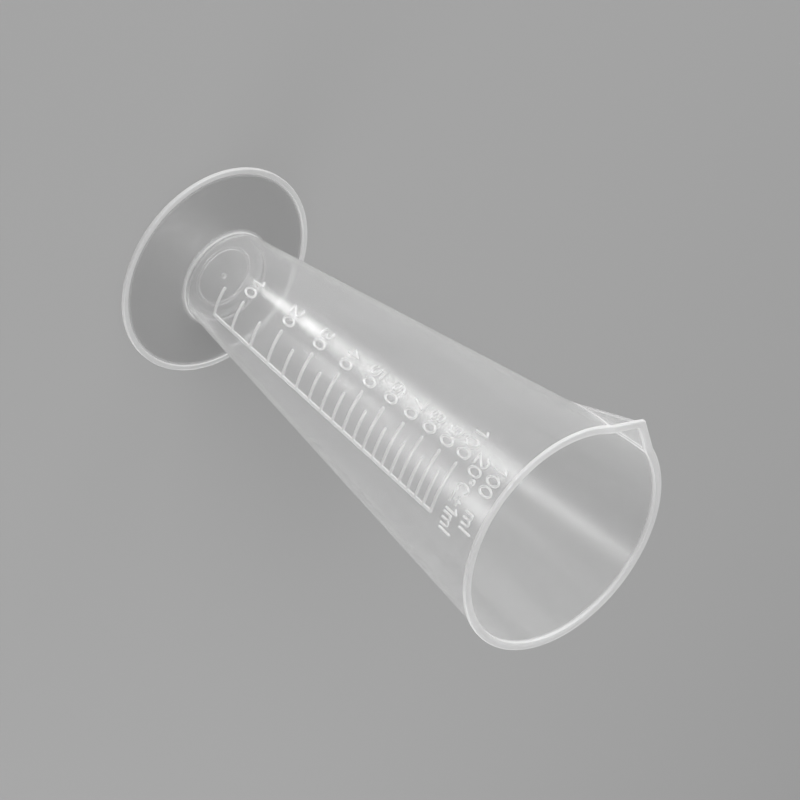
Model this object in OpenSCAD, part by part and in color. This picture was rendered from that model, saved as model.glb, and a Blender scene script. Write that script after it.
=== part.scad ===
// Conical measure for mixing chemicals: a flared, translucent cup of 100 ml on a shallow round foot,
// with a pouring spout pinched into its rim and a raised scale on its front. Millimetres, +Z up.
// The foot stands on Z = 0, the cup's axis is the Z axis, the spout points along -X and the scale
// faces -Y. The real object is one moulding, so its sub-parts meet face to face with no gap.

/* [Cup] */
// Height of the top of the rim above the table
cup_h = 126.2; // [90:0.1:200]
// Outside radius of the cup's wall just under the rim
mouth_r = 26.4; // [20:0.1:45]
// Outside radius of the cup's wall where it meets the foot
base_r = 11.8; // [9:0.1:18]
// Thickness of the wall, measured level
wall_t = 1.1; // [0.7:0.05:2]
// Thickness of the cup's floor
floor_t = 1.6; // [0.8:0.05:3]
// Radius of the raised ring under the floor
floor_ring_r = 7.3; // [4:0.1:8]
// Diameter of the nub that the moulding's gate left under the floor
gate_d = 1.2; // [0.6:0.1:2]

/* [Rim] */
// Height of the bead round the rim
bead_h = 0.9; // [0.6:0.05:3]
// How far the bead stands out from the wall
bead_out = 0.7; // [0.3:0.05:2]
// Radius of the bead's rounded shoulder
bead_round = 0.4; // [0.1:0.05:0.5]

/* [Spout] */
// How far the spout's ridge reaches from the cup's axis, at the top of the wall
spout_reach = 29.5; // [28.5:0.1:34]
// Height of the spout, from the foot of its ridge to the top of the wall
spout_h = 18.7; // [10:0.1:30]
// Angle from the ridge to each crease where the spout's sides meet the wall, at the top
spout_spread = 17.3; // [10:0.1:24]

/* [Foot] */
// Outside radius of the foot
foot_r = 26.4; // [20:0.1:40]
// Height at which the wall stands on the foot
foot_h = 4.85; // [4.4:0.05:9]
// Thickness of the foot's skirt under the wall
skirt_t = 1.1; // [0.8:0.05:2]
// Thickness of the foot's skirt at the foot's rim
skirt_edge_t = 0.8; // [0.5:0.05:1]
// Height of the rim round the foot
foot_rim_h = 1.2; // [1:0.05:2]
// Width of the rim round the foot
foot_rim_w = 1.25; // [1:0.05:3]
// Radius of the foot rim's rounded edge
foot_rim_round = 0.35; // [0.1:0.05:0.45]

/* [Scale] */
// What the cup holds up to its top mark, in ml, where the cup has room for it
capacity = 100; // [50:10:100]
// Volume between one mark and the next, in ml
mark_step = 5; // [5:5:10]
// How far the marks and numerals stand out from the wall
mark_out = 0.45; // [0.2:0.05:1]
// Height of each mark, and width of the line that joins them
mark_w = 0.75; // [0.4:0.05:1.2]
// Place of the scale's line at its lowest mark, right of the cup's centre plane
line_x = 6.9; // [5.5:0.1:9]
// How far the scale's line leans to the right, per mm of height
line_lean = 0.0314; // [0.01:0.0001:0.06]
// Height of a numeral
digit_h = 4.15; // [2.5:0.05:5]
// Width of a numeral
digit_w = 2.4; // [1.5:0.05:3]
// Width of the stroke that numerals and letters are drawn with
pen = 0.48; // [0.3:0.01:0.6]
// Distance from one numeral or letter to the next
pitch = 2.85; // [2.6:0.05:3.6]
// Angle round the cup of the last nought of every numeral, from the +X axis
numeral_turn = -99.8; // [-110:0.1:-90]

/* [Hidden] */

$fn = 96;
wall_top = cup_h - bead_h;
flare = (mouth_r - base_r) / (wall_top - foot_h);
floor_z = foot_h + floor_t - skirt_t;
plastic = [0.86, 0.87, 0.87, 0.6];
raised = [0.95, 0.95, 0.95, 0.85];
big = 4 * mouth_r;

// The spout's ridge leaves the wall at ridge_foot and leans out by ridge_lean; seen from above, each
// of its sides makes spout_half with it, and meets the wall's outside at spout_spread.
ridge_foot = wall_top - spout_h;
ridge_lean = atan((spout_reach - wall_r(ridge_foot)) / spout_h);
spout_half = atan(mouth_r * sin(spout_spread) / (spout_reach - mouth_r * cos(spout_spread)));

// Marks stand where the cup holds their volume, up to the capacity or to the lettering under the rim.
// The lowest three were cut a little off the true height.
row_gap = digit_h + 1.6;
lettering_h = 2 * row_gap + digit_h / 2 + 0.5;
marks = floor(min(capacity, volume_to(wall_top - lettering_h) / 1000) / mark_step);
mark_offset = [1.2, -0.5, -0.4];
line_foot = mark_z(1);

// Half sizes of a numeral's centre line
gw = (digit_w - pen) / 2;
gh = (digit_h - pen) / 2;

// Outside radius of the wall at height z
function wall_r(z) = base_r + flare * (z - foot_h);

// Inside radius of the wall at height z
function inner_r(z) = wall_r(z) - wall_t;

// Volume that the cup holds up to height z
function volume_to(z) = PI / (3 * flare) * (pow(inner_r(z), 3) - pow(inner_r(floor_z), 3));

// Height at which the cup holds the volume v
function level(v) = floor_z + (pow(pow(inner_r(floor_z), 3) + 3 * flare * v / PI, 1 / 3) - inner_r(floor_z)) / flare;

// Height of mark number i, counted from 1
function mark_z(i) = level(i * mark_step * 1000) + (i <= len(mark_offset) ? mark_offset[i - 1] : 0);

// Places right of the centre plane, at height z: the scale's line and the left ends of its marks
function line_at(z) = line_x + line_lean * (z - line_foot);
function long_end(z) = 0.15 - 0.023 * (z - line_foot);
function short_end(z) = 0.08 * wall_r(z);

// Solid of the cup's outside, made larger by d
module cup_outside(d = 0) {
  rotate_extrude() polygon([[0, foot_h], [base_r + d, foot_h], [mouth_r + d, wall_top], [0, wall_top]]);
}

// Solid of the space inside the cup's wall
module cup_inside() {
  below = 2;
  above = 3;
  rotate_extrude()
    polygon([[0, foot_h - below], [inner_r(foot_h - below), foot_h - below],
             [inner_r(wall_top + above), wall_top + above], [0, wall_top + above]]);
}

// Wedge-shaped bar along the spout's ridge, moved in towards the axis by inset
module spout_wedge(inset = 0) {
  half = atan(tan(spout_half) / cos(ridge_lean));
  deep = spout_reach - inner_r(ridge_foot) * cos(spout_spread) + 3;
  mirror([1, 0, 0])
    translate([spout_reach - inset, 0, wall_top])
      rotate([0, ridge_lean, 0])
        translate([0, 0, -1.6 * spout_h])
          linear_extrude(height = 1.8 * spout_h)
            polygon([[0, 0], [-deep, deep * tan(half)], [-deep, -deep * tan(half)]]);
}

// The part of that bar which belongs to the spout: from where the ridge leaves the inside of the wall
// up to the wall's top, and a little past the creases on each side
module spout_block() {
  low = ridge_foot - wall_t / (tan(ridge_lean) - flare);
  side = big * tan(spout_spread + 2);
  intersection() {
    spout_wedge();
    translate([0, 0, low]) linear_extrude(height = wall_top - low) polygon([[0, 0], [-big, side], [-big, -side]]);
  }
}

module cone_wall() {
  color(plastic)
    difference() {
      cup_outside();
      cup_inside();
      spout_block();
    }
}

module pouring_spout() {
  color(plastic)
    difference() {
      spout_block();
      spout_wedge(wall_t / sin(spout_half));
      cup_inside();
    }
}

// Section of the bead, from its inner face outwards, with a shoulder no rounder than half its height
module bead_section() {
  w = wall_t + bead_out;
  r = min(bead_round, bead_h / 2);
  square([w - r, bead_h]);
  square([w, bead_h - r]);
  translate([w - r, bead_h - r]) circle(r = r);
}

// One straight side of the bead, from the spout's tip to the crease at angle turn
module bead_side(tip, turn) {
  reach = tip - mouth_r * cos(turn) + 6;
  inset = wall_t + bead_out;
  intersection() {
    translate([tip, 0, 0])
      rotate([0, 0, 180 - spout_half])
        translate([-3, inset, 0])
          rotate([90, 0, 90])
            linear_extrude(height = reach + 6) mirror([1, 0]) bead_section();
    linear_extrude(height = bead_h) polygon([[0, 0], [big, 0], [big, big * tan(turn)]]);
  }
}

// The ring has a gap for the spout, and the straight sides run into the ring a little past the creases
module rim_bead() {
  outer = mouth_r + bead_out;
  tip = spout_reach + bead_out / sin(spout_half);
  along = tip * cos(spout_half);
  side = along - sqrt(pow(along, 2) - pow(tip, 2) + pow(outer, 2));
  turn = atan(side * sin(spout_half) / (tip - side * cos(spout_half)));
  run_in = 1.2;
  gap = big * tan(turn - run_in);
  color(plastic)
    translate([0, 0, wall_top])
      mirror([1, 0, 0]) {
        difference() {
          rotate_extrude() translate([inner_r(wall_top), 0]) bead_section();
          translate([0, 0, -1])
            linear_extrude(height = bead_h + 2)
              polygon([[0, 0], [big, -gap], [big, gap]]);
        }
        bead_side(tip, turn + run_in);
        mirror([0, 1, 0]) bead_side(tip, turn + run_in);
      }
}

module cup_floor() {
  low = foot_h - skirt_t;
  ring_w = 0.75;
  ring_h = 0.5;
  gate_h = 0.7;
  color(plastic) {
    rotate_extrude()
      polygon([[0, low], [inner_r(foot_h), low], [inner_r(foot_h), foot_h], [inner_r(floor_z), floor_z],
               [0, floor_z]]);
    difference() {
      translate([0, 0, low - ring_h]) cylinder(h = ring_h, r = floor_ring_r + ring_w / 2);
      translate([0, 0, low - ring_h - 1]) cylinder(h = ring_h + 2, r = floor_ring_r - ring_w / 2);
    }
    translate([0, 0, low - gate_h]) cylinder(h = gate_h, d = gate_d);
  }
}

module foot_skirt() {
  edge = foot_r - foot_rim_w;
  color(plastic)
    rotate_extrude()
      polygon([[inner_r(foot_h), foot_h - skirt_t], [base_r, foot_h - skirt_t], [edge, 0], [edge, skirt_edge_t],
               [base_r, foot_h], [inner_r(foot_h), foot_h]]);
}

module foot_rim() {
  edge = foot_r - foot_rim_w;
  r = foot_rim_round;
  color(plastic)
    rotate_extrude()
      translate([edge, 0]) {
        square([foot_rim_w - r, foot_rim_h]);
        translate([0, r]) square([foot_rim_w, foot_rim_h - 2 * r]);
        translate([foot_rim_w - r, r]) circle(r = r);
        translate([foot_rim_w - r, foot_rim_h - r]) circle(r = r);
      }
}

// What is drawn on the front view, projected back on to the wall as a raised layer
module raised_layer(d = mark_out) {
  intersection() {
    difference() {
      cup_outside(d);
      cup_outside();
    }
    children();
  }
}

// Leaning bar along the scale's line, seen from the front, wider by spare
module line_bar(low, high, spare = 0) {
  half = mark_w / 2 + spare;
  rotate([90, 0, 0])
    linear_extrude(height = big)
      polygon([[line_at(low) - half, low], [line_at(low) + half, low], [line_at(high) + half, high],
               [line_at(high) - half, high]]);
}

module scale_line() {
  color(raised)
    raised_layer() line_bar(mark_z(1) - mark_w / 2, mark_z(marks) + mark_w / 2);
}

// One mark at height z, from the place left to the scale's line
module mark(z, left) {
  difference() {
    raised_layer()
      translate([left, -big, z - mark_w / 2]) cube([line_at(z) - left, big, mark_w]);
    line_bar(z - 2 * mark_w, z + 2 * mark_w);
  }
}

module scale_marks_10ml() {
  color(raised)
    for (i = [2 : 2 : marks]) mark(mark_z(i), long_end(mark_z(i)));
}

module scale_marks_5ml() {
  color(raised)
    for (i = [1 : 2 : marks]) mark(mark_z(i), i == 1 ? long_end(mark_z(i)) : short_end(mark_z(i)));
}

// Straight stroke of a character, with round ends
module stroke(a, b) {
  translate(a) rotate(atan2(b[1] - a[1], b[0] - a[0])) translate([0, -pen / 2]) square([norm(b - a), pen]);
  translate(a) circle(d = pen);
  translate(b) circle(d = pen);
}

// Curved stroke: part of an oval with centre c and half sizes h, from angle a0 to a1
module bow(c, h, a0, a1) {
  n = ceil((a1 - a0) / 15);
  out = [for (i = [0 : n]) let (a = a0 + (a1 - a0) * i / n)
    [c[0] + (h[0] + pen / 2) * cos(a), c[1] + (h[1] + pen / 2) * sin(a)]];
  in = [for (i = [n : -1 : 0]) let (a = a0 + (a1 - a0) * i / n)
    [c[0] + (h[0] - pen / 2) * cos(a), c[1] + (h[1] - pen / 2) * sin(a)]];
  polygon(concat(out, in));
}

// Whole oval stroke
module loop(c, h) {
  bow(c, h, 0, 180);
  bow(c, h, 180, 360);
}

// One character, drawn flat round its own centre
module glyph(ch) {
  if (ch == "0") loop([0, 0], [gw, gh]);
  if (ch == "1") {
    stroke([0.2, -gh], [0.2, gh]);
    stroke([0.2, gh], [-0.7, gh - 0.75]);
  }
  if (ch == "2") {
    bow([0, gh - gw], [gw, gw], -30, 165);
    stroke([gw * cos(30), gh - gw - gw / 2], [-gw, -gh]);
    stroke([-gw, -gh], [gw, -gh]);
  }
  if (ch == "3") {
    bow([0, gh * 0.5], [gw * 0.85, gh * 0.5], -90, 155);
    bow([0, -gh * 0.5], [gw, gh * 0.5], -155, 90);
  }
  if (ch == "4") {
    stroke([gw * 0.35, -gh], [gw * 0.35, gh]);
    stroke([gw * 0.35, gh], [-gw, -gh * 0.3]);
    stroke([-gw, -gh * 0.3], [gw, -gh * 0.3]);
  }
  if (ch == "5") {
    stroke([-gw * 0.8, gh], [gw * 0.85, gh]);
    stroke([-gw * 0.8, gh], [-gw * 0.8, 0]);
    bow([-0.05, -gh * 0.4], [gw, gh * 0.6], -150, 135);
  }
  if (ch == "6") {
    loop([0, -gh * 0.42], [gw, gh * 0.58]);
    bow([gw * 0.5, -gh * 0.42], [gw * 1.5, gh * 1.42], 95, 180);
  }
  if (ch == "7") {
    stroke([-gw, gh], [gw * 0.9, gh]);
    stroke([gw, gh - 0.1], [-gw * 0.3, -gh]);
  }
  if (ch == "8") {
    loop([0, gh * 0.48], [gw * 0.85, gh * 0.52]);
    loop([0, -gh * 0.48], [gw, gh * 0.52]);
  }
  if (ch == "9") rotate(180) glyph("6");
  if (ch == "m") {
    x_h = gh * 0.3;
    stroke([-1.3, -gh], [-1.3, x_h]);
    for (x = [-0.65, 0.65]) {
      bow([x, x_h - 0.65], [0.65, 0.65], 0, 180);
      stroke([x + 0.65, x_h - 0.65], [x + 0.65, -gh]);
    }
  }
  if (ch == "l") stroke([0, -gh], [0, gh]);
  if (ch == "C") bow([0, 0], [gw, gh], 50, 310);
  if (ch == "o") loop([0, gh * 0.7], [gw * 0.5, gw * 0.5]);
  if (ch == "+") {
    stroke([-gw, 0.3], [gw, 0.3]);
    stroke([0, 0.3 - gw], [0, 0.3 + gw]);
    stroke([-gw, -gh], [gw, -gh]);
  }
}

// One character standing out of the wall at height z, turned round the cup to angle turn
module character(ch, z, turn) {
  raised_layer()
    rotate([0, 0, turn + 90])
      translate([0, 0, z])
        rotate([90, 0, 0])
          linear_extrude(height = big) glyph(ch);
}

// Angle that a distance round the wall spans at height z
function turn_by(distance, z) = distance / wall_r(z) * 180 / PI;

module scale_numerals() {
  color(raised)
    for (i = [2 : 2 : marks]) {
      z = mark_z(i);
      word = str(i * mark_step);
      for (k = [0 : len(word) - 1])
        character(word[k], z, numeral_turn - turn_by((len(word) - 1 - k) * pitch, z));
    }
}

// Lettering of two rows under the rim: the scale's tolerance, and the volume at its top mark. Each
// character has its place round the wall, in mm from the front.
module capacity_lettering() {
  row_1 = mark_z(marks) + row_gap;
  row_2 = row_1 + row_gap;
  color(raised) {
    for (c = [["2", -5.2], ["0", -2.6], ["o", -0.6], ["C", 1.7], ["+", 4.4], ["1", 6.8], ["m", 9.2], ["l", 11.6]])
      character(c[0], row_1, turn_by(c[1], row_1) - 90);
    top = str(marks * mark_step);
    for (k = [0 : len(top) - 1])
      character(top[k], row_2, turn_by(-0.8 - 2.6 * (len(top) - 1 - k), row_2) - 90);
    for (c = [["m", 6.1], ["l", 8.6]]) character(c[0], row_2, turn_by(c[1], row_2) - 90);
  }
}

cone_wall();
pouring_spout();
rim_bead();
cup_floor();
foot_skirt();
foot_rim();
scale_line();
scale_marks_10ml();
scale_marks_5ml();
scale_numerals();
capacity_lettering();
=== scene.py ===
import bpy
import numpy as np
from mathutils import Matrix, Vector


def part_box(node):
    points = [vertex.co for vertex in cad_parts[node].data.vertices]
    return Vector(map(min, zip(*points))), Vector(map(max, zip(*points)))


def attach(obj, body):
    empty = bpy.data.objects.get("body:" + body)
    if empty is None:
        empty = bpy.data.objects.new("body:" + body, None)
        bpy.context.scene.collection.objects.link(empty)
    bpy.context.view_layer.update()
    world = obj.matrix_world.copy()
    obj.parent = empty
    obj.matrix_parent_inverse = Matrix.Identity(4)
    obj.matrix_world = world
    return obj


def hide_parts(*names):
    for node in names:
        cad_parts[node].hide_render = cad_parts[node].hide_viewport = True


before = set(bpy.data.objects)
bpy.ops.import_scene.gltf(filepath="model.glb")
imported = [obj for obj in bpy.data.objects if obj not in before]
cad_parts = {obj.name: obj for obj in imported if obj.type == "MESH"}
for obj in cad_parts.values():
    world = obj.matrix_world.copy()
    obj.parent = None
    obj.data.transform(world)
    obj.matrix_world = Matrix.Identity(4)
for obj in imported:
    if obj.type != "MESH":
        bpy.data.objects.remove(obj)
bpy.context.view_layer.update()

# Conical measure of translucent plastic: one flared cup on a shallow round foot, with a spout and a
# raised scale. The whole moulding is one closed skin, so light bends through its wall as in the real
# one; the raised scale is domed strokes that lie on the wall. Metres, +Z up, spout at -X, scale at -Y.

MM = 0.001

# Sizes read from the frame
rim_low, rim_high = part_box("rim_bead")
WALL_TOP = rim_low.z / MM
CUP_H = rim_high.z / MM
BEAD_R = rim_high.x / MM
MOUTH_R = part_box("cone_wall")[1].x / MM
FOOT_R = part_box("foot_rim")[1].x / MM
FOOT_RIM_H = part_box("foot_rim")[1].z / MM
FOOT_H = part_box("foot_skirt")[1].z / MM
FLOOR_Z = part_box("cup_floor")[1].z / MM
NUB_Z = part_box("cup_floor")[0].z / MM

# Sizes of the moulding that no box shows, in mm
BASE_R = 11.8
WALL_T = 1.1
SPOUT_REACH = 29.5
SPOUT_H = 18.7
SPOUT_SPREAD = np.radians(17.3)
FOOT_RIM_W = 1.25
SKIRT_EDGE_T = 0.8
RING_R = 7.3
RING_W = 0.75
RING_H = 0.5
NUB_R = 0.6
SKIRT_T = 1.1
UNDER_Z = FOOT_H - SKIRT_T

# Rows of the moulding's skin lie this far apart at most, in mm: at the spout, on the foot, elsewhere
ROW_SPOUT = 0.5
ROW_FOOT = 0.8
ROW_PLAIN = 4.0

# Past this angle from the ridge the spout's V fades into the cone
V_END = np.radians(22)

# How milky each place is on the measure of the attribute thick_and_painted_light; the skirt is made clearer
# as painted shade
# The bead and the foot rim are milkier partly for the plastic's thickness and partly as a painted highlight
BEAD_HAZE_AND_HIGHLIGHT = 0.9
FOOT_RIM_HAZE_AND_HIGHLIGHT = 0.9
ROOT_HAZE = 0.8
RING_HAZE = 0.5
CREASE_HAZE = 0.9
# painted shade: the skirt, as thick as the wall, is made clearer so its upward face looks shaded
SKIRT_PAINTED_SHADE = -0.155
STROKE_HAZE = 0.5

# Sizes of the raised scale, in mm
MARK_STEP = 5
MARK_COUNT = 20
MARK_OFFSET = (1.2, -0.5, -0.4)
MARK_W = 0.75
MARK_OUT = 0.45
ACROSS = 11  # points across a raised stroke
LINE_X = 6.9
LINE_LEAN = 0.0314
DIGIT_H = 4.15
DIGIT_W = 2.4
PEN = 0.48
PITCH = 2.85
NUMERAL_TURN = np.radians(-99.8)
FRONT = np.radians(-90.0)

FLARE = (MOUTH_R - BASE_R) / (WALL_TOP - FOOT_H)
RIDGE_FOOT = WALL_TOP - SPOUT_H
SPLIT_Z = RIDGE_FOOT - 4


def wall_r(z):
    """Outside radius of the cone at height z: straight from the foot to the wall's top, then upright."""
    return BASE_R + FLARE * (np.minimum(z, WALL_TOP) - FOOT_H)


CORNER_R = wall_r(FLOOR_Z) - WALL_T
RIDGE_LEAN = (SPOUT_REACH - wall_r(RIDGE_FOOT)) / SPOUT_H
SPOUT_HALF = np.arctan2(MOUTH_R * np.sin(SPOUT_SPREAD), SPOUT_REACH - MOUTH_R * np.cos(SPOUT_SPREAD))


def skin_r(z, out, turn):
    """Radius of the skin that lies out millimetres outside the wall, at height z and angle turn from
    the spout's ridge: the larger of the cone's radius and the straight V of the spout, softly joined.
    A straight side that makes SPOUT_HALF with the ridge has radius side / sin(SPOUT_HALF + turn).
    Gives the radius, and how far the V stands outside the cone."""
    blunt = np.radians(0.6)
    blend = 0.07
    fade = 3.0
    cone = wall_r(z) + out
    angle = np.sqrt(turn**2 + blunt**2)
    past = np.clip((np.abs(turn) - V_END) / np.radians(20), 0, 1)
    ridge = wall_r(RIDGE_FOOT) + RIDGE_LEAN * (np.minimum(z, WALL_TOP) - RIDGE_FOOT)
    reach = np.minimum(angle, np.pi / 2 - SPOUT_HALF)
    side = (ridge * np.sin(SPOUT_HALF) + out) / np.sin(SPOUT_HALF + reach) - fade * past
    gap = side - cone
    near = np.sqrt(gap**2 + blend**2) - blend**2 / (2 * np.sqrt(gap**2 + 1))
    return cone + np.maximum((gap + near) / 2, 0), gap


def rounded(corners, steps=6):
    """Polyline through corners (x, y, radius), each corner replaced by the arc of a quadratic curve
    that leaves the sides at its radius' tangent length, never past the middle of a side. A corner with
    radius 0 stays as it is."""
    xy = np.array([c[:2] for c in corners], float)
    out = [xy[:1]]
    t = np.linspace(0, 1, steps + 1)[:, None]
    for i in range(1, len(xy) - 1):
        a, b, c = xy[i - 1], xy[i], xy[i + 1]
        if corners[i][2] == 0:
            out.append(b[None])
            continue
        la, lc = np.linalg.norm(a - b), np.linalg.norm(c - b)
        half = np.arccos(np.clip(np.dot(a - b, c - b) / (la * lc), -1, 1)) / 2
        cut = min(corners[i][2] / np.tan(half), 0.49 * la, 0.49 * lc)
        start, end = b + (a - b) / la * cut, b + (c - b) / lc * cut
        out.append((1 - t)**2 * start + 2 * t * (1 - t) * b + t**2 * end)
    out.append(xy[-1:])
    return np.vstack(out)


def spread(line, longest):
    """The same polyline with each side cut into equal pieces no longer than longest, which is one
    length or a length for each side."""
    out = [line[:1]]
    for a, b, limit in zip(line[:-1], line[1:], np.broadcast_to(longest, len(line) - 1)):
        n = int(np.ceil(np.linalg.norm(b - a) / limit))
        out.append(a + (b - a) * (np.arange(1, n + 1) / n)[:, None])
    return np.vstack(out)


def quads(rows, cols, wrap):
    """Faces of a grid of rows by cols points numbered row by row; wrap joins the last column to the first."""
    across = cols if wrap else cols - 1
    i, j = np.meshgrid(np.arange(rows - 1), np.arange(across), indexing="ij")
    k = (j + 1) % cols
    return np.stack([i * cols + j, i * cols + k, (i + 1) * cols + k, (i + 1) * cols + j], -1).reshape(-1, 4)


def closed_shell(grid):
    """Points and faces of a tube of rings, grid[row, column], whose end rings close on their middles,
    with every face pointing outwards: the shell is turned over if the volume it holds is negative."""
    rows, cols = grid.shape[:2]
    ends = np.vstack([grid[0].mean(0), grid[-1].mean(0)])
    points = np.vstack([grid.reshape(-1, 3), ends])
    j = np.arange(cols)
    k = (j + 1) % cols
    first, last = rows * cols, rows * cols + 1
    top = (rows - 1) * cols
    fans = np.vstack([np.stack([k, j, np.full(cols, first)], -1),
                      np.stack([top + j, top + k, np.full(cols, last)], -1)])
    square = quads(rows, cols, True)
    corners = np.vstack([fans, square[:, [0, 1, 2]], square[:, [0, 2, 3]]])
    a, b, c = points[corners[:, 0]], points[corners[:, 1]], points[corners[:, 2]]
    volume = np.einsum("ij,ij->i", a, np.cross(b, c)).sum()
    if volume < 0:
        fans, square = fans[:, ::-1], square[:, ::-1]
    return points, fans, square


def piece(name, shells, material, nodes, thick_and_painted_light):
    """One object made of closed shells, in millimetres, which stands for the named CAD nodes. The
    attribute thick_and_painted_light says how milky the plastic is, from 0 in the wall to 1, for all
    points or for each: partly the plastic's thickness, partly painted highlight and painted shade."""
    points, faces, base = [], [], 0
    for p, fans, square in shells:
        points.append(p)
        faces += (fans + base).tolist() + (square + base).tolist()
        base += len(p)
    mesh = bpy.data.meshes.new(name)
    mesh.from_pydata((np.vstack(points) * MM).tolist(), [], faces)
    mesh.polygons.foreach_set("use_smooth", np.ones(len(faces), bool))
    mesh.materials.append(material)
    depth = mesh.attributes.new("thick_and_painted_light", "FLOAT", "POINT")
    depth.data.foreach_set("value", np.ones(base) * thick_and_painted_light)
    mesh.update()
    obj = bpy.data.objects.new(name, mesh)
    bpy.context.scene.collection.objects.link(obj)
    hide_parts(*nodes)
    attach(obj, "root")
    return obj


# ---------------------------------------------------------------- the moulding

def moulding_section():
    """Half of the section of the moulding, rows of (r, z): under the floor and the skirt, round the
    foot's rim, up the outside of the wall, over the bead, down the inside and across the floor."""
    edge = FOOT_R - FOOT_RIM_W
    ring_in, ring_out = RING_R - RING_W / 2, RING_R + RING_W / 2
    ring_z = UNDER_Z - RING_H
    root_z, corner_z = FOOT_H + 0.9, FLOOR_Z + 1.2
    under = [(0.05, NUB_Z, 0), (NUB_R, NUB_Z, 0.25), (NUB_R, UNDER_Z, 0.15), (ring_in, UNDER_Z, 0.15),
             (ring_in, ring_z, 0.2), (ring_out, ring_z, 0.2), (ring_out, UNDER_Z, 0.15),
             (BASE_R, UNDER_Z, 1.2), (edge, 0, 0.1)]
    foot = [(FOOT_R, 0, 0.35), (FOOT_R, FOOT_RIM_H, 0.35), (edge, FOOT_RIM_H, 0.2),
            (edge, SKIRT_EDGE_T, 0.15), (BASE_R, FOOT_H, 0.3)]
    outside = [(wall_r(root_z), root_z, 0), (wall_r(SPLIT_Z), SPLIT_Z, 0), (MOUTH_R, WALL_TOP, 0.15)]
    bead = [(BEAD_R, WALL_TOP + 0.08, 0.12), (BEAD_R, CUP_H, 0.6), (MOUTH_R - 0.4, CUP_H, 0.6),
            (MOUTH_R - WALL_T + 0.04, CUP_H - 0.15, 0.15)]
    inside = [(MOUTH_R - WALL_T, WALL_TOP, 0.3), (wall_r(SPLIT_Z) - WALL_T, SPLIT_Z, 0),
              (wall_r(corner_z) - WALL_T, corner_z, 0)]
    floor_top = [(CORNER_R, FLOOR_Z, 0.7), (CORNER_R - 1.4, FLOOR_Z, 0), (0.05, FLOOR_Z, 0)]
    line = rounded(under + foot + outside + bead + inside + floor_top)
    start, end = line[:-1], line[1:]
    by_spout = (start[:, 1] > SPLIT_Z - 0.01) & (end[:, 1] > SPLIT_Z - 0.01)
    on_foot = (start[:, 0] > BASE_R - 0.01) & (end[:, 0] > BASE_R - 0.01) & (end[:, 1] < FOOT_H + 0.01)
    return spread(line, np.select([by_spout, on_foot], [ROW_SPOUT, ROW_FOOT], ROW_PLAIN))


def section_depth_and_painted_light(r, z):
    """The attribute thick_and_painted_light along the section: each place of thicker plastic is 1 in its
    middle and falls to 0 in a straight line over its own width, and the skirt is below 0. The bead and
    the foot rim are raised partly as a painted highlight, and the skirt's value below 0 is painted shade."""
    low = z < FOOT_H + 0.6
    # painted highlight: the bead and the foot rim are made milkier to stand in for their highlights
    bead = BEAD_HAZE_AND_HIGHLIGHT * np.clip((z - WALL_TOP + 0.1) / 0.15, 0, 1)
    foot_rim = FOOT_RIM_HAZE_AND_HIGHLIGHT * np.clip((r - FOOT_R + FOOT_RIM_W + 0.25) / 0.2, 0, 1) * low
    root = ROOT_HAZE * np.clip(1.4 - np.abs(r - BASE_R) / 0.3, 0, 1) * low * (z > FOOT_H - 0.3)
    corner = np.clip(1.3 - np.abs(r - CORNER_R - 0.4) / 0.6, 0, 1) * low
    underneath = z < UNDER_Z + 0.05
    ring = RING_HAZE * np.clip(1.5 - np.abs(r - RING_R) / (RING_W / 2), 0, 1) * underneath
    nub = 1.0 * (r < NUB_R + 0.05) * underneath
    # painted shade: the skirt is made clearer so that it looks darker, as in shade
    skirt = SKIRT_PAINTED_SHADE * (r > BASE_R + 0.6) * (z < FOOT_H)
    deep_and_highlight = np.max([bead, foot_rim, root, corner, ring, nub], axis=0)
    return np.where(deep_and_highlight > 0.01, deep_and_highlight, skirt)


def moulding_shell():
    """The section carried round the cup's axis, in close columns by the spout. Above the foot each
    point keeps its distance from the wall's outside while the wall's plan becomes the spout. The
    spout's ridge and creases are milkier, as exp(-(distance / width)^2)."""
    tall = moulding_section()
    r, z = tall[:, 0], tall[:, 1]
    fine = np.radians(np.arange(-20, 20, 0.2))
    coarse = np.radians(np.arange(20, 340, 1.6))
    turn = np.concatenate([fine, coarse])
    from_ridge = (turn + np.pi) % (2 * np.pi) - np.pi
    upper = ((z > RIDGE_FOOT - 12) & (r > 5))[:, None]
    out = r - wall_r(z)
    shaped, gap = skin_r(z[:, None], out[:, None], from_ridge[None, :])
    radius = np.where(upper, shaped, r[:, None])
    angle = np.pi + turn
    grid = np.stack([radius * np.cos(angle), radius * np.sin(angle),
                     np.broadcast_to(z[:, None], radius.shape)], -1)
    by_row = section_depth_and_painted_light(r, z)[:, None]
    crease = CREASE_HAZE * np.exp(-(gap / 0.15)**2) * (np.abs(from_ridge) < V_END)
    ridge = CREASE_HAZE * np.exp(-(from_ridge / np.radians(0.6))**2) * (gap > 0)
    thick_and_painted_light = np.where(upper, np.maximum(np.maximum(crease, ridge), by_row), by_row).ravel()
    return closed_shell(grid), np.append(thick_and_painted_light, [0, 0])


# ---------------------------------------------------------------- the raised scale

def mark_z(i):
    """Height of mark i, where the cup holds i steps of the scale: the inside is a cone's frustum, of
    volume pi / (3 flare) (r^3 - corner_r^3). The lowest three stand a little off."""
    held = i * MARK_STEP * 1000
    level = FLOOR_Z + ((CORNER_R**3 + 3 * FLARE * held / np.pi)**(1 / 3) - CORNER_R) / FLARE
    return level + (MARK_OFFSET[i - 1] if i <= len(MARK_OFFSET) else 0)


LINE_FOOT = mark_z(1)


def line_at(z):
    """Place of the scale's line right of the centre plane at height z: it leans a little."""
    return LINE_X + LINE_LEAN * (z - LINE_FOOT)


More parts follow.
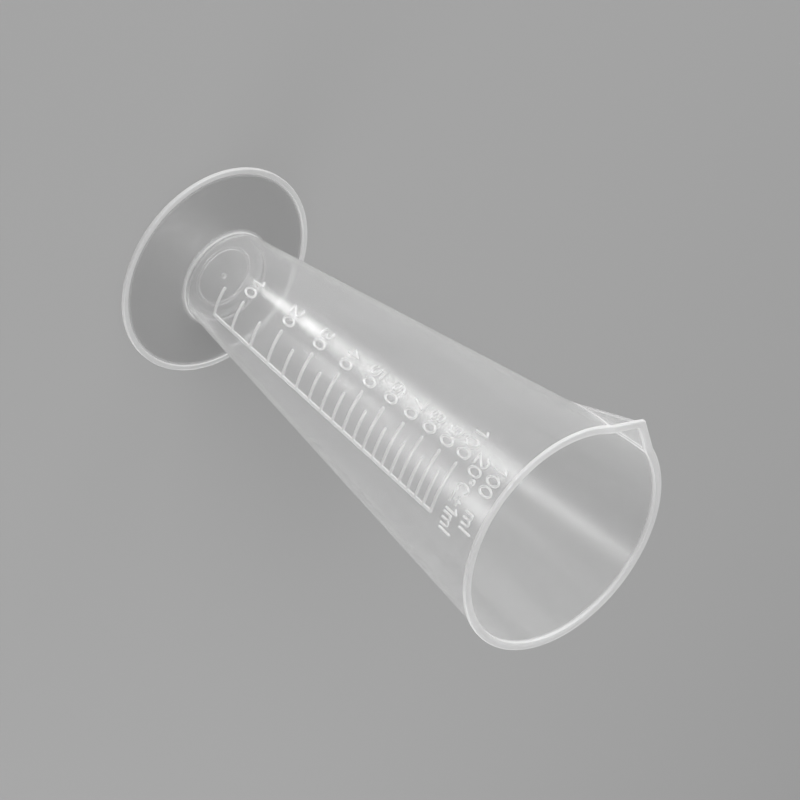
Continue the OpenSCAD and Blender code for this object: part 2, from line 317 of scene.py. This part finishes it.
def raised_stroke(path, width, height, turn):
    """Domed stroke laid on the cone along path, rows of (x, z) as seen from the direction turn. The
    section is a superellipse half, width across and height out, that lifts off the wall by a hair;
    both ends are rounded, and a point x off the view's middle lies asin(x / radius) round the cone."""
    lift = 0.012
    power = 0.62
    path = spread(np.asarray(path, float), 0.5)
    run = np.gradient(path, axis=0)
    run /= np.linalg.norm(run, axis=1, keepdims=True)
    tip = np.sin(np.radians([90, 65, 40, 20]))
    start = path[0] - run[0] * tip[:, None] * width / 2
    end = path[-1] + run[-1] * tip[::-1, None] * width / 2
    swell = np.sqrt(np.clip(1 - tip**2, 0.02, 1))
    size = np.concatenate([swell, np.ones(len(path)), swell[::-1]])
    way = np.vstack([np.repeat(run[:1], len(tip), 0), run, np.repeat(run[-1:], len(tip), 0)])
    middle = np.vstack([start, path, end])
    across = np.stack([-way[:, 1], way[:, 0]], -1)
    s = np.radians(np.linspace(0, 180, ACROSS))
    side = np.sign(np.cos(s)) * np.abs(np.cos(s))**power * width / 2
    rise = lift + np.abs(np.sin(s))**power * (height - lift)
    flat = middle[:, None, :] + across[:, None, :] * (side[None, :, None] * size[:, None, None])
    out = lift + (rise[None, :] - lift) * np.sqrt(size)[:, None]
    x, z = flat[..., 0], flat[..., 1]
    angle = turn + np.arcsin(x / wall_r(z))
    r = wall_r(z) + out
    return closed_shell(np.stack([r * np.cos(angle), r * np.sin(angle), z], -1))


def edge_highlight(shells):
    """The attribute thick_and_painted_light for strokes that are milkier at their edges, a painted
    highlight along each edge: |cos s|^1.5, where s goes from 0 at one edge over the top, 90, to 180
    at the other edge; 1 at the points that close the ends."""
    edge = np.abs(np.cos(np.radians(np.linspace(0, 180, ACROSS))))**1.5
    return np.concatenate([np.append(np.tile(edge, (len(points) - 2) // ACROSS), [1, 1])
                           for points, _, _ in shells])


def bow(cx, cz, hx, hz, a0, a1):
    """Part of an oval with centre (cx, cz) and half sizes hx, hz, from angle a0 to a1 in degrees."""
    a = np.radians(np.linspace(a0, a1, max(4, int(abs(a1 - a0) / 12))))
    return np.stack([cx + hx * np.cos(a), cz + hz * np.sin(a)], -1)


def glyph(ch):
    """Centre lines of one character's strokes, drawn flat round its own centre, in mm."""
    w, h = (DIGIT_W - PEN) / 2, (DIGIT_H - PEN) / 2
    ring = bow(0, 0, w, h, 0, 360)
    six = [bow(0, -h * 0.42, w, h * 0.58, 0, 360), bow(w * 0.5, -h * 0.42, w * 1.5, h * 1.42, 95, 180)]
    x_h = h * 0.3
    arch_r = 0.65
    arch_z = x_h - arch_r
    arches = [bow(x, arch_z, arch_r, arch_r, 0, 180) for x in (-arch_r, arch_r)]
    return {
        "0": [ring],
        "1": [[(0.2, -h), (0.2, h)], [(0.2, h), (-0.7, h - 0.75)]],
        "2": [np.vstack([bow(0, h - w, w, w, 165, -30), [(-w, -h)], [(w, -h)]])],
        "3": [bow(0, h * 0.5, w * 0.85, h * 0.5, 155, -90), bow(0, -h * 0.5, w, h * 0.5, 90, -155)],
        "4": [[(w * 0.35, -h), (w * 0.35, h)], [(w * 0.35, h), (-w, -h * 0.3)],
              [(-w, -h * 0.3), (w, -h * 0.3)]],
        "5": [[(w * 0.85, h), (-w * 0.8, h)], [(-w * 0.8, h), (-w * 0.8, 0)],
              bow(-0.05, -h * 0.4, w, h * 0.6, 135, -150)],
        "6": six,
        "7": [[(-w, h), (w * 0.9, h)], [(w, h - 0.1), (-w * 0.3, -h)]],
        "8": [bow(0, h * 0.48, w * 0.85, h * 0.52, 0, 360), bow(0, -h * 0.48, w, h * 0.52, 0, 360)],
        "9": [-np.asarray(s) for s in six],
        "m": [[(-2 * arch_r, -h), (-2 * arch_r, x_h)], *arches, [(0, arch_z), (0, -h)],
              [(2 * arch_r, arch_z), (2 * arch_r, -h)]],
        "l": [[(0, -h), (0, h)]],
        "C": [bow(0, 0, w, h, 50, 310)],
        "o": [bow(0, h * 0.7, w * 0.5, w * 0.5, 0, 360)],
        "+": [[(-w, 0.3), (w, 0.3)], [(0, 0.3 - w), (0, 0.3 + w)], [(-w, -h), (w, -h)]],
    }[ch]


def character(ch, z, turn):
    """Shells of one character's strokes, standing on the wall at height z, turned to the angle turn."""
    return [raised_stroke(np.asarray(s, float) + (0, z), PEN, MARK_OUT, turn) for s in glyph(ch)]


def line_shells():
    """The leaning line that joins the marks."""
    low, high = mark_z(1) - MARK_W / 2, mark_z(MARK_COUNT)
    z = np.linspace(low + MARK_W / 2, high, 60)
    return [raised_stroke(np.stack([line_at(z), z], -1), MARK_W, MARK_OUT, FRONT)]


def mark_shells(numbers, left):
    """One level stroke for each mark number, from left(i, z) to the line."""
    shells = []
    for i in numbers:
        z = mark_z(i)
        x = np.linspace(left(i, z) + MARK_W / 2, line_at(z), 24)
        shells.append(raised_stroke(np.stack([x, np.full_like(x, z)], -1), MARK_W, MARK_OUT, FRONT))
    return shells


def long_end(i, z):
    """Left end of a long mark: the ends lean the other way from the line."""
    return 0.15 - 0.023 * (z - LINE_FOOT)


def five_end(i, z):
    """Left end of a short mark, near the middle of the cup; the lowest is as long as a long one."""
    return long_end(i, z) if i == 1 else 0.08 * wall_r(z)


def numeral_shells():
    """The volume at each ten, its last nought always at NUMERAL_TURN."""
    shells = []
    for i in range(2, MARK_COUNT + 1, 2):
        z, word = mark_z(i), str(i * MARK_STEP)
        for k, ch in enumerate(word):
            shells += character(ch, z, NUMERAL_TURN - (len(word) - 1 - k) * PITCH / wall_r(z))
    return shells


def lettering_shells():
    """Two rows under the rim: each character with its place round the wall, in mm from the front."""
    row_gap = DIGIT_H + 1.6
    row_1 = mark_z(MARK_COUNT) + row_gap
    rows = [(row_1, {-5.2: "2", -2.6: "0", -0.6: "o", 1.7: "C", 4.4: "+", 6.8: "1", 9.2: "m", 11.6: "l"}),
            (row_1 + row_gap, {-6.0: "1", -3.4: "0", -0.8: "0", 6.1: "m", 8.6: "l"})]
    shells = []
    for z, places in rows:
        for place, ch in places.items():
            shells += character(ch, z, FRONT + place / wall_r(z))
    return shells


# ---------------------------------------------------------------- finishes

PLASTIC_IOR = 1.49
FLOW_LANES = (180, 180, 26)  # noise per metre: long lanes up the cup
SATIN_GRAIN = 2600.0  # noise per metre
WAVE_DEPTH = 0.00003
GRAIN_DEPTH = 0.000005
SHADOW_TINT = (0.93, 0.93, 0.93)


def noise(tree, place, scale, detail):
    """Soft noise over place."""
    grain = tree.nodes.new("ShaderNodeTexNoise")
    grain.inputs["Scale"].default_value = scale
    grain.inputs["Detail"].default_value = detail
    tree.links.new(place, grain.inputs["Vector"])
    return grain.outputs["Fac"]


def graded(tree, value, low, high):
    """The middle range of a noise, 0.3 to 0.7, carried over to low to high."""
    ramp = tree.nodes.new("ShaderNodeMapRange")
    ramp.inputs["From Min"].default_value, ramp.inputs["From Max"].default_value = 0.3, 0.7
    ramp.inputs["To Min"].default_value, ramp.inputs["To Max"].default_value = low, high
    tree.links.new(value, ramp.inputs["Value"])
    return ramp.outputs["Result"]


def relief_of(tree, height, strength, depth):
    """A bump node that raises the skin with height, by up to depth in metres."""
    bump = tree.nodes.new("ShaderNodeBump")
    bump.inputs["Strength"].default_value = strength
    bump.inputs["Distance"].default_value = depth
    tree.links.new(height, bump.inputs["Height"])
    return bump


def mixed(tree, first, second):
    """Mixes two finishes; the node's Fac is the share of the second."""
    mix = tree.nodes.new("ShaderNodeMixShader")
    tree.links.new(first, mix.inputs[1])
    tree.links.new(second, mix.inputs[2])
    return mix


def plastic_skin(tree, place, rough, sheen, relief, drift, colour):
    """Clear plastic that bends light, under a satin skin that shines more at a slant, both with faint
    flow waves and fine grain. Fine grain also makes the clear body a little more or less rough."""
    fine = noise(tree, place, SATIN_GRAIN, 3.0)
    waves = relief_of(tree, drift, relief, WAVE_DEPTH)
    grain = relief_of(tree, fine, relief * 0.4, GRAIN_DEPTH)
    tree.links.new(waves.outputs["Normal"], grain.inputs["Normal"])
    bent = tree.nodes.new("ShaderNodeBsdfRefraction")
    bent.inputs["Color"].default_value = (*colour, 1)
    bent.inputs["IOR"].default_value = PLASTIC_IOR
    tree.links.new(graded(tree, fine, rough * 0.75, rough * 1.3), bent.inputs["Roughness"])
    tree.links.new(grain.outputs["Normal"], bent.inputs["Normal"])
    skin = tree.nodes.new("ShaderNodeBsdfAnisotropic")
    skin.inputs["Color"].default_value = (1, 1, 1, 1)
    skin.inputs["Roughness"].default_value = sheen
    tree.links.new(grain.outputs["Normal"], skin.inputs["Normal"])
    slant = tree.nodes.new("ShaderNodeFresnel")
    slant.inputs["IOR"].default_value = PLASTIC_IOR
    clear = mixed(tree, bent.outputs["BSDF"], skin.outputs["BSDF"])
    tree.links.new(slant.outputs["Fac"], clear.inputs["Fac"])
    return clear.outputs["Shader"]


def plastic_cloud(tree, colour):
    """The milky share: half of the light comes back and half goes through."""
    back = tree.nodes.new("ShaderNodeBsdfDiffuse")
    back.inputs["Color"].default_value = (*colour, 1)
    through = tree.nodes.new("ShaderNodeBsdfTranslucent")
    through.inputs["Color"].default_value = (*colour, 1)
    cloud = mixed(tree, back.outputs["BSDF"], through.outputs["BSDF"])
    cloud.inputs["Fac"].default_value = 0.5
    return cloud.outputs["Shader"]


def pale_shadow(tree, body):
    """Lets shadow rays and diffuse rays pass body with a slight loss, so that its shadow stays pale."""
    pale = tree.nodes.new("ShaderNodeBsdfTransparent")
    pale.inputs["Color"].default_value = (*SHADOW_TINT, 1)
    ray = tree.nodes.new("ShaderNodeLightPath")
    passing = tree.nodes.new("ShaderNodeMath")
    passing.operation = "MAXIMUM"
    tree.links.new(ray.outputs["Is Shadow Ray"], passing.inputs[0])
    tree.links.new(ray.outputs["Is Diffuse Ray"], passing.inputs[1])
    surface = mixed(tree, body, pale.outputs["BSDF"])
    tree.links.new(passing.outputs["Value"], surface.inputs["Fac"])
    return surface.outputs["Shader"]


def plastic(name, haze, deep_and_painted_light_haze, rough, sheen, flow, relief, colour):
    """Hazy moulded plastic: clear with a satin skin, under a thin milky share that scatters light.
    The milky share is haze, more or less by flow along the moulding's flow up the cup, and
    deep_and_painted_light_haze more where the attribute thick_and_painted_light is 1; through that
    attribute the milky share also carries painted highlights and a painted shade."""
    mat = bpy.data.materials.new(name)
    mat.use_nodes = True
    tree = mat.node_tree
    tree.nodes.clear()
    coord = tree.nodes.new("ShaderNodeTexCoord")
    lanes = tree.nodes.new("ShaderNodeMapping")
    lanes.inputs["Scale"].default_value = FLOW_LANES
    tree.links.new(coord.outputs["Object"], lanes.inputs["Vector"])
    drift = noise(tree, lanes.outputs["Vector"], 1.0, 4.0)

    depth = tree.nodes.new("ShaderNodeAttribute")
    depth.attribute_name = "thick_and_painted_light"
    milk_and_painted_light = tree.nodes.new("ShaderNodeMath")
    milk_and_painted_light.operation = "MULTIPLY_ADD"
    milk_and_painted_light.inputs[1].default_value = deep_and_painted_light_haze
    tree.links.new(depth.outputs["Fac"], milk_and_painted_light.inputs[0])
    tree.links.new(graded(tree, drift, haze * (1 - flow), haze * (1 + flow)), milk_and_painted_light.inputs[2])

    clear = plastic_skin(tree, coord.outputs["Object"], rough, sheen, relief, drift, colour)
    body = mixed(tree, clear, plastic_cloud(tree, colour))
    tree.links.new(milk_and_painted_light.outputs["Value"], body.inputs["Fac"])
    out = tree.nodes.new("ShaderNodeOutputMaterial")
    tree.links.new(pale_shadow(tree, body.outputs["Shader"]), out.inputs["Surface"])
    return mat


cup_plastic = plastic("translucent_plastic", haze=0.082, deep_and_painted_light_haze=0.66, rough=0.075, sheen=0.24,
                      flow=0.25, relief=0.1, colour=(0.96, 0.96, 0.96))
scale_plastic = plastic("raised_plastic", haze=0.10, deep_and_painted_light_haze=0.66, rough=0.1, sheen=0.16,
                        flow=0.12, relief=0.02, colour=(0.98, 0.98, 0.98))

cup_shell, cup_depth_and_painted_light = moulding_shell()
piece("moulded_cup", [cup_shell], cup_plastic,
      ["cone_wall", "pouring_spout", "rim_bead", "cup_floor", "foot_skirt", "foot_rim"],
      cup_depth_and_painted_light)

numerals, lettering = numeral_shells(), lettering_shells()
tens, fives = range(2, MARK_COUNT + 1, 2), range(1, MARK_COUNT + 1, 2)
scale_pieces = [
    ("raised_scale_line", "scale_line", line_shells(), STROKE_HAZE),
    ("raised_marks_10ml", "scale_marks_10ml", mark_shells(tens, long_end), STROKE_HAZE),
    ("raised_marks_5ml", "scale_marks_5ml", mark_shells(fives, five_end), STROKE_HAZE),
    ("raised_numerals", "scale_numerals", numerals, edge_highlight(numerals)),
    ("raised_lettering", "capacity_lettering", lettering, edge_highlight(lettering)),
]
for name, cad_node, shells, depth in scale_pieces:
    piece(name, shells, scale_plastic, [cad_node], depth)


# ---------------------------------------------------------------- floor, light and camera

CARD_Z = 0.003  # the cards of light lie this high over the floor
FLOOR_R = 3.0
FLOOR_GREY = 0.44
SKY_LOW, SKY_HIGH = 0.32, 0.13

CAMERA_PLACE = (-0.0635, -0.5490, 0.5104)
CAMERA_FORWARD = (0.0867, 0.7759, -0.6249)
CAMERA_RIGHT = (-0.5510, 0.5599, 0.6188)
CAMERA_LENS = 144.2


def floor():
    """A wide plain pale disc under the foot."""
    mat = bpy.data.materials.new("pale_floor")
    mat.use_nodes = True
    shade = mat.node_tree.nodes["Principled BSDF"]
    shade.inputs["Base Color"].default_value = (FLOOR_GREY, FLOOR_GREY, FLOOR_GREY, 1)
    shade.inputs["Roughness"].default_value = 0.85
    shade.inputs["Specular IOR Level"].default_value = 0.2
    a = np.radians(np.arange(0, 360, 5))
    ring = np.stack([FLOOR_R * np.cos(a), FLOOR_R * np.sin(a), np.full_like(a, -0.00005)], -1)
    mesh = bpy.data.meshes.new("studio_floor")
    mesh.from_pydata(ring.tolist(), [], [list(range(len(ring)))])
    mesh.materials.append(mat)
    obj = bpy.data.objects.new("studio_floor", mesh)
    bpy.context.scene.collection.objects.link(obj)


def area_light(name, shape, size, power):
    """A light of the given shape and size, in metres and watts."""
    data = bpy.data.lights.new(name, "AREA")
    data.shape = shape
    data.size, data.size_y = size
    data.energy = power
    obj = bpy.data.objects.new(name, data)
    bpy.context.scene.collection.objects.link(obj)
    return obj


def soft_light(name, place, target, size, power):
    """A low soft box at place, facing target, that keeps its light off the floor at its feet and
    doesn't show through the clear wall."""
    obj = area_light(name, "RECTANGLE", size, power)
    obj.data.spread = np.radians(100)
    obj.visible_transmission = False
    obj.location = place
    obj.rotation_mode = "QUATERNION"
    obj.rotation_quaternion = (Vector(target) - Vector(place)).to_track_quat("-Z", "Y")


def wide_soft_light(name, place, spread_angle, strength):
    """A very large soft light in the direction of place, the same over the whole floor."""
    data = bpy.data.lights.new(name, "SUN")
    data.angle = spread_angle
    data.energy = strength
    obj = bpy.data.objects.new(name, data)
    obj.rotation_mode = "QUATERNION"
    obj.rotation_quaternion = (-Vector(place)).to_track_quat("-Z", "Y")
    bpy.context.scene.collection.objects.link(obj)


def strip_light(name, start, end, width, power):
    """A long oval card lying just over the floor from start to end, facing up, hidden from the camera."""
    a, b = Vector((*start, CARD_Z)), Vector((*end, CARD_Z))
    obj = area_light(name, "ELLIPSE", (width, (b - a).length), power)
    along, down = (b - a).normalized(), Vector((0, 0, -1))
    turn = Matrix((along.cross(down), along, down)).transposed()
    obj.matrix_world = Matrix.Translation((a + b) / 2) @ turn.to_4x4()
    obj.visible_camera = False


floor()
wide_soft_light("top_light", (-0.35, -0.85, 1.15), np.radians(27), 1.85)
soft_light("left_low_box", (-0.75, -0.25, 0.16), (0, 0, 0.07), (0.6, 0.24), 1.35)
soft_light("right_low_box", (0.7, 0.1, 0.16), (0, 0, 0.07), (0.5, 0.24), 1.1)
strip_light("front_card", (-0.0130, -0.0270), (-0.0560, -0.1200), 0.014, 0.030)
strip_light("front_sheet", (-0.0200, -0.0420), (-0.1050, -0.2350), 0.055, 0.075)
strip_light("right_card", (0.0300, -0.0850), (0.0650, -0.1750), 0.040, 0.028)
strip_light("inside_card", (0.0340, -0.1750), (0.1150, -0.3100), 0.036, 0.16)


def studio_air():
    """Plain light all round, pale at the horizon and dimmer overhead."""
    world = bpy.data.worlds.new("studio_air")
    bpy.context.scene.world = world
    world.use_nodes = True
    tree = world.node_tree
    coord = tree.nodes.new("ShaderNodeTexCoord")
    part = tree.nodes.new("ShaderNodeSeparateXYZ")
    tree.links.new(coord.outputs["Generated"], part.inputs["Vector"])
    height = tree.nodes.new("ShaderNodeMapRange")
    height.inputs["From Min"].default_value, height.inputs["From Max"].default_value = 0.0, 0.5
    height.inputs["To Min"].default_value, height.inputs["To Max"].default_value = SKY_LOW, SKY_HIGH
    tree.links.new(part.outputs["Z"], height.inputs["Value"])
    back = tree.nodes["Background"]
    back.inputs["Color"].default_value = (1, 1, 1, 1)
    tree.links.new(height.outputs["Result"], back.inputs["Strength"])


studio_air()


def camera():
    """The camera stands in front, looks down on the measure, and is rolled over on its side."""
    data = bpy.data.cameras.new("camera")
    data.sensor_width = 36
    data.lens = CAMERA_LENS
    data.clip_start, data.clip_end = 0.01, 20
    right = Vector(CAMERA_RIGHT).normalized()
    forward = Vector(CAMERA_FORWARD).normalized()
    up = (-forward).cross(right).normalized()
    right = up.cross(-forward)
    obj = bpy.data.objects.new("camera", data)
    turn = Matrix((right, up, -forward)).transposed()
    obj.matrix_world = Matrix.Translation(CAMERA_PLACE) @ turn.to_4x4()
    bpy.context.scene.collection.objects.link(obj)
    bpy.context.scene.camera = obj


camera()
bpy.context.scene.view_settings.view_transform = "Standard"
